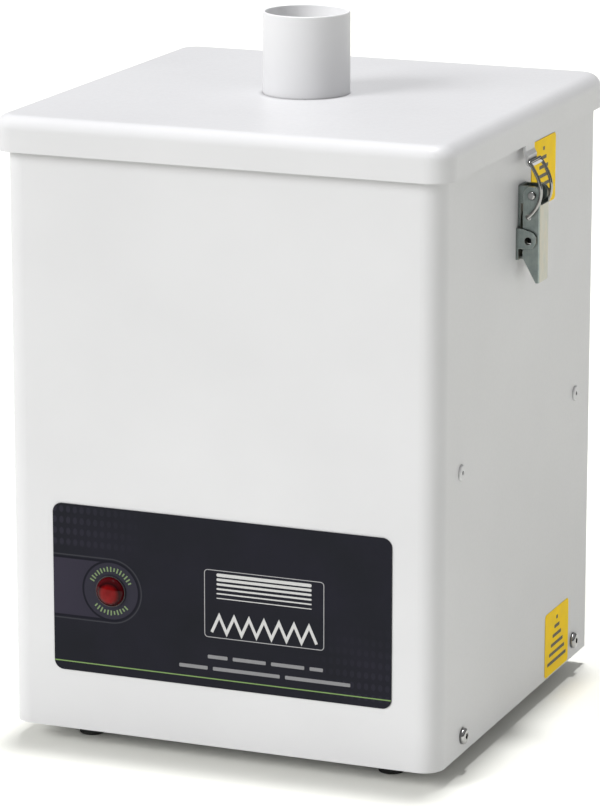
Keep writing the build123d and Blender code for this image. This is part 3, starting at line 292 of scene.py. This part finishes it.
def fibrous(name, base, size, depth, rough=0.9):
    """Paper, board, fleece or foam: matted fibres or open cells."""
    f = Finish(name, rough, 0.0, Specular_ior_level=0.2)
    mat = f.noise(size, 5, 0.7, distortion=1.2)
    slow = f.noise(0.02, 2)
    tone = f.mix(f.span(mat, 0.3, 0.7), tinted(base, 0.8), base)
    tone = f.mix(f.span(slow, 0.4, 0.7, 0.0, 0.3), tone, tinted(base, 0.92))
    return f.done(tone, f.span(mat, 0.2, 0.8, rough - 0.08, 1.0), f.bump(mat, depth, 0.8))


def granular(name, base, size):
    """Loose grains, each of its own tone."""
    f = Finish(name, 0.7)
    grains = f.cells(size)
    tint = f.cells(size, output="Color")
    tone = f.mix(f.span(tint, 0.0, 1.0), tinted(base, 0.5), tinted(base, 2.2))
    return f.done(tone, f.span(tint, 0.0, 1.0, 0.4, 0.85), f.bump(grains, size * 0.5, 1.0))


def circuit_board(name):
    """Solder mask over faint copper tracks, with the glass weave showing."""
    f = Finish(name, 0.3)
    weave = f.noise(0.0008, 2, along=(1, 0.2, 1))
    track = f.cells(0.006, feature="DISTANCE_TO_EDGE", random=0.4)
    copper = f.math("LESS_THAN", track, 0.07)
    tone = f.mix(f.span(weave, 0.3, 0.7), (0.012, 0.12, 0.05), (0.018, 0.16, 0.07))
    tone = f.mix(copper, tone, (0.04, 0.3, 0.14))
    return f.done(tone, f.span(weave, 0.3, 0.7, 0.25, 0.4), f.bump(copper, 0.00003, 0.6))


def clear_hose(name):
    """Milky see-through tubing."""
    f = Finish(name, 0.3, 0.0, Transmission_weight=0.55)
    haze = f.noise(0.002, 3)
    tone = f.mix(f.span(haze, 0.3, 0.7), (0.72, 0.72, 0.68), (0.82, 0.82, 0.8))
    return f.done(tone, f.span(haze, 0.3, 0.7, 0.22, 0.4), f.bump(haze, 0.00002, 0.4))


LAMP = Vector((-0.0663, -0.1306, 0.0955))         # middle of the lamp
KEYHOLE_R = 0.0166        # pale disc round the lamp, and half the height of the band that runs into it
RING_W = 0.0012           # dark ring round the disc
HALO = 0.0187             # radius of the fine pale line outside the ring
HALO_HALF = 0.00035
PRINT_BLUR = 0.00015      # softness of the printed edges
DOT_PITCH = (0.0042, 0.0064)
DOT_TONE = (0.024, 0.023, 0.034)
BAND_LEFT, BAND_RIGHT = (0.030, 0.027, 0.041), (0.0255, 0.0238, 0.035)
DISC_TONE = (0.0262, 0.0252, 0.036)
RING_TONE = (0.009, 0.009, 0.014)
HALO_TONE = (0.036, 0.037, 0.044)


def printed_film(name="printed_film"):
    """Dark printed film: a paler band that runs into a disc round the lamp, and two faint fields of dots."""
    f = Finish(name, 0.42, Specular_ior_level=0.05)
    parts = f.node("ShaderNodeSeparateXYZ")
    f.feed(parts.inputs[0], f.place)
    x, z = parts.outputs["X"], parts.outputs["Z"]
    dx = f.math("SUBTRACT", x, LAMP.x)
    dz = f.math("SUBTRACT", z, LAMP.z)
    dz2 = f.math("MULTIPLY", dz, dz)
    ahead = f.math("MAXIMUM", dx, 0.0)
    disc = f.math("SQRT", f.math("ADD", f.math("MULTIPLY", dx, dx), dz2))
    key = f.math("SQRT", f.math("ADD", f.math("MULTIPLY", ahead, ahead), dz2))

    def inside(distance, limit):
        return f.span(distance, limit - PRINT_BLUR, limit + PRINT_BLUR, 1.0, 0.0)

    def stroke(distance, middle, half):
        return inside(f.math("ABSOLUTE", f.math("SUBTRACT", distance, middle)), half)

    slow = f.noise(0.03, 3)
    base = f.mix(f.span(slow, 0.3, 0.7), (0.0115, 0.0122, 0.0162), (0.0138, 0.0138, 0.0200))

    # plain dot fields that fade towards the middle of the label
    grid = f.node("ShaderNodeTexVoronoi", voronoi_dimensions="2D")
    spread = f.node("ShaderNodeCombineXYZ")
    f.feed(spread.inputs["X"], f.math("MULTIPLY", x, 1 / DOT_PITCH[0]))
    f.feed(spread.inputs["Y"], f.math("MULTIPLY", z, 1 / DOT_PITCH[1]))
    f.feed(grid.inputs["Vector"], spread.outputs[0])
    grid.inputs["Scale"].default_value = 1.0
    grid.inputs["Randomness"].default_value = 0.0
    dots = f.span(grid.outputs["Distance"], 0.26, 0.36, 1.0, 0.0)
    corner_a = f.math("MULTIPLY", f.span(x, -0.1, -0.045, 1.0, 0.0), f.span(z, 0.1165, 0.121))
    corner_b = f.math("MULTIPLY", f.span(x, 0.052, 0.085), f.span(z, 0.06, 0.095, 1.0, 0.0))
    field = f.math("MULTIPLY", dots, f.math("ADD", corner_a, f.math("MULTIPLY", corner_b, 0.6)))
    base = f.mix(f.math("MULTIPLY", field, 0.75, clamp=True), base, DOT_TONE)

    # the band and the disc it runs into, with the dark ring and the pale line round both
    band = f.mix(f.span(x, -0.102, -0.07), BAND_LEFT, BAND_RIGHT)
    band = f.mix(f.span(disc, KEYHOLE_R - 0.001, KEYHOLE_R), DISC_TONE, band)
    base = f.mix(inside(key, KEYHOLE_R), base, band)
    ring_r = KEYHOLE_R + RING_W / 2
    ring = f.math("MAXIMUM", stroke(disc, ring_r, RING_W / 2), stroke(key, ring_r, RING_W / 2))
    base = f.mix(ring, base, RING_TONE)
    base = f.mix(stroke(key, HALO, HALO_HALF), base, HALO_TONE)
    fine = f.noise(0.0005, 2)
    return f.done(base, f.span(slow, 0.3, 0.7, 0.34, 0.44), f.bump(fine, 0.00001, 0.4))


def ink(name, base):
    """Screen-printed ink: slightly uneven cover and a satin face."""
    f = Finish(name, 0.5, Specular_ior_level=0.35)
    cover = f.noise(0.0006, 3, 0.6)
    tone = f.mix(f.span(cover, 0.25, 0.6), tinted(base, 0.85), base)
    return f.done(tone, f.span(cover, 0.3, 0.7, 0.45, 0.6), f.bump(cover, 0.000008, 0.4))


def yellow_film(name="yellow_film"):
    """Yellow vinyl film with a slow change of tone."""
    f = Finish(name, 0.5, Specular_ior_level=0.04)
    slow = f.noise(0.012, 3)
    fine = f.noise(0.0007, 2)
    tone = f.mix(f.span(slow, 0.3, 0.7), (0.84, 0.555, 0.001), (0.92, 0.615, 0.002))
    return f.done(tone, f.span(slow, 0.3, 0.7, 0.4, 0.52), f.bump(fine, 0.000015, 0.4))


# the pattern on the lens is painted: the face behind the dome sits where refraction shows it, and the dark
# wall is painted shade
FACE_SHIFT = (0.0004, -0.0008)    # the face behind the dome shows a little off its middle
FACE_R, WALL_R = 0.0044, 0.0064   # the face ends at the first radius, the dark wall starts at the second


def red_lens(name="red_lens"):
    """Moulded red lens, painted opaque with the look of the clear dome: a paler face low behind it where
    refraction shows it, and a wall painted dark as shade that reddens towards the rim.
    """
    f = Finish(name, 0.08, Specular_ior_level=0.14)
    parts = f.node("ShaderNodeSeparateXYZ")
    f.feed(parts.inputs[0], f.place)
    dx = f.math("SUBTRACT", parts.outputs["X"], LAMP.x + FACE_SHIFT[0])
    dz = f.math("SUBTRACT", parts.outputs["Z"], LAMP.z + FACE_SHIFT[1])
    out = f.math("SQRT", f.math("ADD", f.math("MULTIPLY", dx, dx), f.math("MULTIPLY", dz, dz)))
    haze = f.noise(0.004, 3)
    face = f.mix(f.span(haze, 0.3, 0.7), (0.115, 0.0013, 0.0018), (0.17, 0.0026, 0.0035))
    # painted shade: dark wall round the face, reddening towards the rim
    wall = f.mix(f.span(out, WALL_R, 0.0088), (0.016, 0.0005, 0.0012), (0.075, 0.0006, 0.003))
    return f.done(f.mix(f.span(out, FACE_R, WALL_R), face, wall), f.span(haze, 0.3, 0.7, 0.06, 0.11))


FINISHES = {
    "white_paint": powder_coat(),
    # the spigot's coat is a paler copy of the same paint, as painted light, and paler still inside its bore
    "white_tube": powder_coat("tube_coat_painted_light", (0.672, 0.672, 0.684), bore=0.0236),
    "zinc_sheet": spangled("zinc_sheet", (0.6, 0.61, 0.62)),
    "zinc_latch": plated("zinc_latch", (0.235, 0.275, 0.27), (0.34, 0.385, 0.37), (0.385, 0.355, 0.285)),
    "bright_wire": turned("bright_wire", (0.35, 0.35, 0.34), 0.12, hollow_shade=0.95, reach=0.006),
    "bright_screws": turned("bright_screws", (0.44, 0.44, 0.44), 0.18, hollow_shade=0.95, reach=0.0045),
    "black_rubber": moulded("black_rubber", (0.016, 0.016, 0.016), 0.75, 0.0009, 0.00005),
    "grey_foam": fibrous("grey_foam", (0.1, 0.1, 0.105), 0.0012, 0.0004),
    "casing_board": fibrous("casing_board", (0.74, 0.72, 0.66), 0.0016, 0.0001),
    "filter_paper": fibrous("filter_paper", (0.82, 0.82, 0.79), 0.001, 0.00012),
    "filter_fleece": fibrous("filter_fleece", (0.8, 0.82, 0.84), 0.0014, 0.0005),
    "carbon": granular("carbon", (0.02, 0.02, 0.02), 0.003),
    "galvanised": spangled("galvanised"),
    "black_plastic": moulded("black_plastic", (0.02, 0.02, 0.022), 0.45),
    "grey_plastic": moulded("grey_plastic", (0.2, 0.21, 0.22), 0.5),
    "motor_alloy": turned("motor_alloy", (0.5, 0.51, 0.52), 0.45, 0.0012),
    "ground_steel": turned("ground_steel", (0.6, 0.6, 0.6), 0.25),
    "board_green": circuit_board("board_green"),
    "component_black": moulded("component_black", (0.03, 0.03, 0.033), 0.4),
    "grey_lead": moulded("grey_lead", (0.07, 0.07, 0.075), 0.5, 0.0009),
    "brass": turned("brass", (0.68, 0.5, 0.2), 0.3),
    "clear_tube": clear_hose("clear_tube"),
    "fascia": printed_film(),
    "red_lens": red_lens(),
    "yellow_film": yellow_film(),
}
slot_of = {s["node"]: s["material_slot"] for s in frame["record"]["subparts"]}
for name, obj in frame["nodes"].items():
    obj.data.materials.clear()
    obj.data.materials.append(FINISHES["white_tube" if name == "lid_spigot" else slot_of[name]])


# ---------------------------------------------------------------- thin printed shapes
INK_T = 0.00006
PRINT_MIDDLE = 0.4 * INK_T        # a print is sunk a tenth of its thickness into the film under it
BLOW_UP = 1000                    # outlines are filled at this scale, so that small ones keep their corners


def rounded_bar(cx, cy, w, h, r, steps=5):
    """Outline of a rounded bar centred on (cx, cy)."""
    points = []
    for k in range(4):
        sx, sy = ((1, 1), (-1, 1), (-1, -1), (1, -1))[k]
        for i in range(steps + 1):
            a = math.radians(90 * k + 90 * i / steps)
            points.append((cx + sx * (w / 2 - r) + r * math.cos(a), cy + sy * (h / 2 - r) + r * math.sin(a)))
    return points


def band_outline(points, half):
    """Outline of a stroke of half-width half along a run of points."""
    left, right = [], []
    for i, p in enumerate(points):
        before = Vector(points[max(i - 1, 0)])
        after = Vector(points[min(i + 1, len(points) - 1)])
        here = Vector(p)
        d1 = (here - before).normalized() if i else (after - here).normalized()
        d2 = (after - here).normalized() if i < len(points) - 1 else d1
        normal = Vector((-(d1.y + d2.y), d1.x + d2.x)).normalized()
        reach = half / max(0.3, normal.dot(Vector((-d1.y, d1.x))))
        left.append(tuple(here + normal * reach))
        right.append(tuple(here - normal * reach))
    return left + right[::-1]


def print_piece(name, loops, to_world, material, body="cabinet"):
    """One thin raised print made of closed outlines; an outline inside another cuts a hole."""
    curve = bpy.data.curves.new(name, "CURVE")
    curve.dimensions = "2D"
    curve.fill_mode = "BOTH"
    curve.extrude = INK_T / 2 * BLOW_UP
    for loop in loops:
        spline = curve.splines.new("POLY")
        spline.points.add(len(loop) - 1)
        for point, (u, v) in zip(spline.points, loop):
            point.co = (u * BLOW_UP, v * BLOW_UP, 0, 1)
        spline.use_cyclic_u = True
    temp = bpy.data.objects.new(name + "_outline", curve)
    scene.collection.objects.link(temp)
    bpy.context.view_layer.update()
    mesh = bpy.data.meshes.new_from_object(temp.evaluated_get(bpy.context.evaluated_depsgraph_get()))
    bpy.data.objects.remove(temp)
    bpy.data.curves.remove(curve)
    mesh.name = name
    mesh.transform(to_world @ Matrix.Scale(1 / BLOW_UP, 4))
    bm = bmesh.new()
    bm.from_mesh(mesh)
    bmesh.ops.remove_doubles(bm, verts=bm.verts, dist=1e-7)
    bmesh.ops.recalc_face_normals(bm, faces=bm.faces)
    bm.to_mesh(mesh)
    bm.free()
    mesh.materials.clear()
    mesh.materials.append(material)
    piece = bpy.data.objects.new(name, mesh)
    scene.collection.objects.link(piece)
    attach(piece, body)
    return piece


def face_matrix(right, up, origin):
    """Takes (u, v, out) on a face to the shared frame."""
    right, up = Vector(right), Vector(up)
    out = right.cross(up)
    return Matrix((
        (right.x, up.x, out.x, origin[0]),
        (right.y, up.y, out.y, origin[1]),
        (right.z, up.z, out.z, origin[2]),
        (0, 0, 0, 1),
    ))


label_low, label_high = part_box("fascia_label")
on_label = face_matrix((1, 0, 0), (0, 0, 1), (0, label_low.y - PRINT_MIDDLE, 0))
silver = ink("silver_ink", (0.50, 0.50, 0.50))
dim_silver = ink("dim_silver_ink", (0.20, 0.20, 0.21))
pale = ink("pale_ink", (0.36, 0.36, 0.37))
green = ink("green_ink", (0.16, 0.26, 0.085))
dim_green = ink("dim_green_ink", (0.15, 0.215, 0.10))


# ---------------------------------------------------------------- lamp lens
LENS_STEPS = 64
DOME_STEPS = 16
LENS_LIP = 0.0006         # straight wall that stands in front of the label


def lathe(name, outline, x, z, steps):
    """Solid turned about the line through (x, z) along Y; the outline ends on that line."""
    mesh = bpy.data.meshes.new(name)
    bm = bmesh.new()
    turn = [math.tau * k / steps for k in range(steps)]
    rings = []
    for r, y in outline[:-1]:
        rings.append([bm.verts.new((x + r * math.cos(t), y, z + r * math.sin(t))) for t in turn])
    for ring_a, ring_b in zip(rings, rings[1:]):
        for k in range(steps):
            after = (k + 1) % steps
            bm.faces.new((ring_a[k], ring_a[after], ring_b[after], ring_b[k]))
    crown = bm.verts.new((x, outline[-1][1], z))
    for k in range(steps):
        bm.faces.new((rings[-1][k], rings[-1][(k + 1) % steps], crown))
    bm.faces.new(rings[0])
    bmesh.ops.recalc_face_normals(bm, faces=bm.faces)
    for face in bm.faces:
        face.smooth = len(face.verts) < 5
    bm.to_mesh(mesh)
    bm.free()
    return mesh


# straight wall, rounded shoulder and a full dome
lens_low, lens_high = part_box("indicator_lens")
lens_r = (lens_high.x - lens_low.x) / 2
lens_x, lens_z = (lens_high.x + lens_low.x) / 2, (lens_high.z + lens_low.z) / 2
shoulder_y = label_low.y - LENS_LIP
dome_depth = label_low.y - lens_low.y - LENS_LIP
profile = [(lens_r, lens_high.y), (lens_r, shoulder_y)]
for i in range(1, DOME_STEPS + 1):
    a = math.radians(90 * i / DOME_STEPS)
    profile.append((lens_r * math.cos(a), shoulder_y - dome_depth * math.sin(a)))
lens_mesh = lathe("lamp_dome", profile, lens_x, lens_z, LENS_STEPS)
lens_mesh.materials.append(FINISHES["red_lens"])
lens = bpy.data.objects.new("lamp_dome", lens_mesh)
scene.collection.objects.link(lens)
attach(lens, "cabinet")
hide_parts("indicator_lens")

# ---------------------------------------------------------------- prints
# thin green rule across the foot of the label
RULE_Z = 0.0512
RULE_H = 0.00065
rule_w = label_high.x - label_low.x - 0.0002
rule = rounded_bar((label_low.x + label_high.x) / 2, RULE_Z, rule_w, RULE_H, 0.0001, 1)
print_piece("label_green_rule", [rule], on_label, green)

# ring of plain ticks round the lamp
TICK_R = 0.0128           # middle of the ticks
TICK_HALF = 0.00042
TICK_STEP = 9.2           # degrees
TALL_TICK, SHORT_TICK = 0.0029, 0.0021
lamp_centre = Vector((LAMP.x, LAMP.z))
ticks = []
for middle, count in ((90, 15), (270, 11)):
    for i in range(count):
        a = math.radians(middle + (i - (count - 1) / 2) * TICK_STEP)
        tall = TALL_TICK if i % 3 else SHORT_TICK
        inner, outer = TICK_R - tall / 2, TICK_R + tall / 2
        way = Vector((math.cos(a), math.sin(a)))
        side = Vector((-math.sin(a), math.cos(a))) * TICK_HALF
        corners = ((inner, -1), (outer, -1), (outer, 1), (inner, 1))
        ticks.append([tuple(lamp_centre + way * r + side * s) for r, s in corners])
print_piece("lamp_ring_ticks", ticks, on_label, dim_green)

# framed pictogram: air passing up through a pleated filter
FRAME_C = (0.0271, 0.0952)
FRAME_W, FRAME_H = 0.0722, 0.0396
FRAME_R = 0.0022
FRAME_LINE = 0.0004
outline = [
    rounded_bar(*FRAME_C, FRAME_W, FRAME_H, FRAME_R),
    rounded_bar(*FRAME_C, FRAME_W - 2 * FRAME_LINE, FRAME_H - 2 * FRAME_LINE, FRAME_R - FRAME_LINE),
]
print_piece("pictogram_frame", outline, on_label, pale)
frame_left, frame_top = FRAME_C[0] - FRAME_W / 2, FRAME_C[1] + FRAME_H / 2
STRIPE_TOP = 0.0028       # from the frame to the middle of the first stripe
STRIPE_STEP = 0.0027
STRIPE_INSET = 0.0075
stripes = []
for i in range(6):
    height = 0.0019 - 0.00028 * i
    middle = frame_top - STRIPE_TOP - STRIPE_STEP * i
    stripes.append(rounded_bar(FRAME_C[0], middle, FRAME_W - 2 * STRIPE_INSET, height, height * 0.45, 3))
print_piece("pictogram_stripes", stripes, on_label, silver)
PLEAT_TURNS = 14
PLEAT_MARGIN = 0.0045
PLEAT_HALF = 0.00085
frame_bottom = FRAME_C[1] - FRAME_H / 2
pleat_low, pleat_high = frame_bottom + 0.0032, frame_bottom + 0.0130
pleats = []
for i in range(PLEAT_TURNS + 1):
    along = frame_left + PLEAT_MARGIN + (FRAME_W - 2 * PLEAT_MARGIN) * i / PLEAT_TURNS
    pleats.append((along, pleat_low if i % 2 == 0 else pleat_high))
print_piece("pictogram_pleats", [band_outline(pleats, PLEAT_HALF)], on_label, silver)

# two rows of plain dashes: name, height, start, end and the lengths of the dashes against each other
DASH_GAP = 0.0032
DASH_H = 0.0021
row_specs = (
    ("caption_dashes_upper", 0.0640, -0.0070, 0.0625, (9, 15, 15, 6)),
    ("caption_dashes_lower", 0.0572, -0.0245, 0.0788, (12, 28, 27)),
)
for name, z, start, end, words in row_specs:
    unit = (end - start - DASH_GAP * (len(words) - 1)) / sum(words)
    at, bars = start, []
    for word in words:
        bars.append(rounded_bar(at + word * unit / 2, z, word * unit, DASH_H, 0.0005, 3))
        at += word * unit + DASH_GAP
    print_piece(name, bars, on_label, dim_silver)

# plain stepped marks on the yellow films
MARK_TOP = 0.0135         # from the middle of a film up to its first mark
MARK_STEP = 0.0052
MARK_H = 0.0021
mark_ink = ink("dark_ink", (0.055, 0.05, 0.03))
film_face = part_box("warning_labels")[1].x
on_wall = face_matrix((0, 1, 0), (0, 0, 1), (film_face + PRINT_MIDDLE, 0, 0))
for name, (cy, cz) in {"upper_film_mark": (0.0387, 0.3205), "lower_film_mark": (0.0755, 0.0315)}.items():
    bars = []
    for i in range(6):
        width = 0.003 + 0.0062 * i
        bars.append(rounded_bar(cy, cz + MARK_TOP - MARK_STEP * i, width, MARK_H, 0.0004, 2))
    print_piece(name, bars, on_wall, mark_ink)

# ---------------------------------------------------------------- studio
FLOOR_HALF = 30
SKY_RISE = (0.12, 0.55)   # upward part of the view direction over which the world brightens
SKY_STRENGTH = (0.13, 0.39)

floor_mesh = bpy.data.meshes.new("studio_floor")
bm = bmesh.new()
bmesh.ops.create_grid(bm, x_segments=1, y_segments=1, size=FLOOR_HALF)
bm.to_mesh(floor_mesh)
bm.free()
floor = bpy.data.objects.new("studio_floor", floor_mesh)
scene.collection.objects.link(floor)
paper = Finish("pale_floor", 0.9, Specular_ior_level=0.1)
paper_tone = paper.mix(paper.noise(0.5, 2), (0.85, 0.852, 0.808), (0.86, 0.862, 0.818))
floor_mesh.materials.append(paper.done(paper_tone))

# pale surroundings, brighter overhead than near the horizon
world = bpy.data.worlds.new("studio")
world.use_nodes = True
sky = world.node_tree
backdrop = sky.nodes["Background"]
toward = sky.nodes.new("ShaderNodeSeparateXYZ")
sky.links.new(sky.nodes.new("ShaderNodeTexCoord").outputs["Generated"], toward.inputs[0])
lift = sky.nodes.new("ShaderNodeMapRange")
lift.inputs["From Min"].default_value, lift.inputs["From Max"].default_value = SKY_RISE
lift.inputs["To Min"].default_value, lift.inputs["To Max"].default_value = SKY_STRENGTH
sky.links.new(toward.outputs["Z"], lift.inputs["Value"])
sky.links.new(lift.outputs["Result"], backdrop.inputs["Strength"])
backdrop.inputs["Color"].default_value = (1, 1, 1, 1)
scene.world = world


def soft_sun(name, azimuth, elevation, spread, strength, glints=True, diffuse=True):
    """Even light from far off: azimuth 0 comes from the front, a positive one from the right.

    glints says whether it shows in gloss, diffuse whether it lights matt faces.
    """
    data = bpy.data.lights.new(name, "SUN")
    data.energy = strength
    data.angle = math.radians(spread)
    light = bpy.data.objects.new(name, data)
    light.visible_glossy = glints
    light.visible_diffuse = diffuse
    a, e = math.radians(azimuth), math.radians(elevation)
    source = Vector((math.sin(a) * math.cos(e), -math.cos(a) * math.cos(e), math.sin(e)))
    light.rotation_euler = source.to_track_quat("Z", "Y").to_euler()
    light.location = source * 2
    scene.collection.objects.link(light)


# azimuth, elevation and spread in degrees, then strength
soft_sun("overhead", 180, 87.0, 5.5, 2.80)
soft_sun("front_left", -39, 27, 30, 2.42, glints=False)
soft_sun("right_fill", 80, 10, 40, 0.08, glints=False)
soft_sun("sparkle", 12, 68, 4, 0.35, diffuse=False)
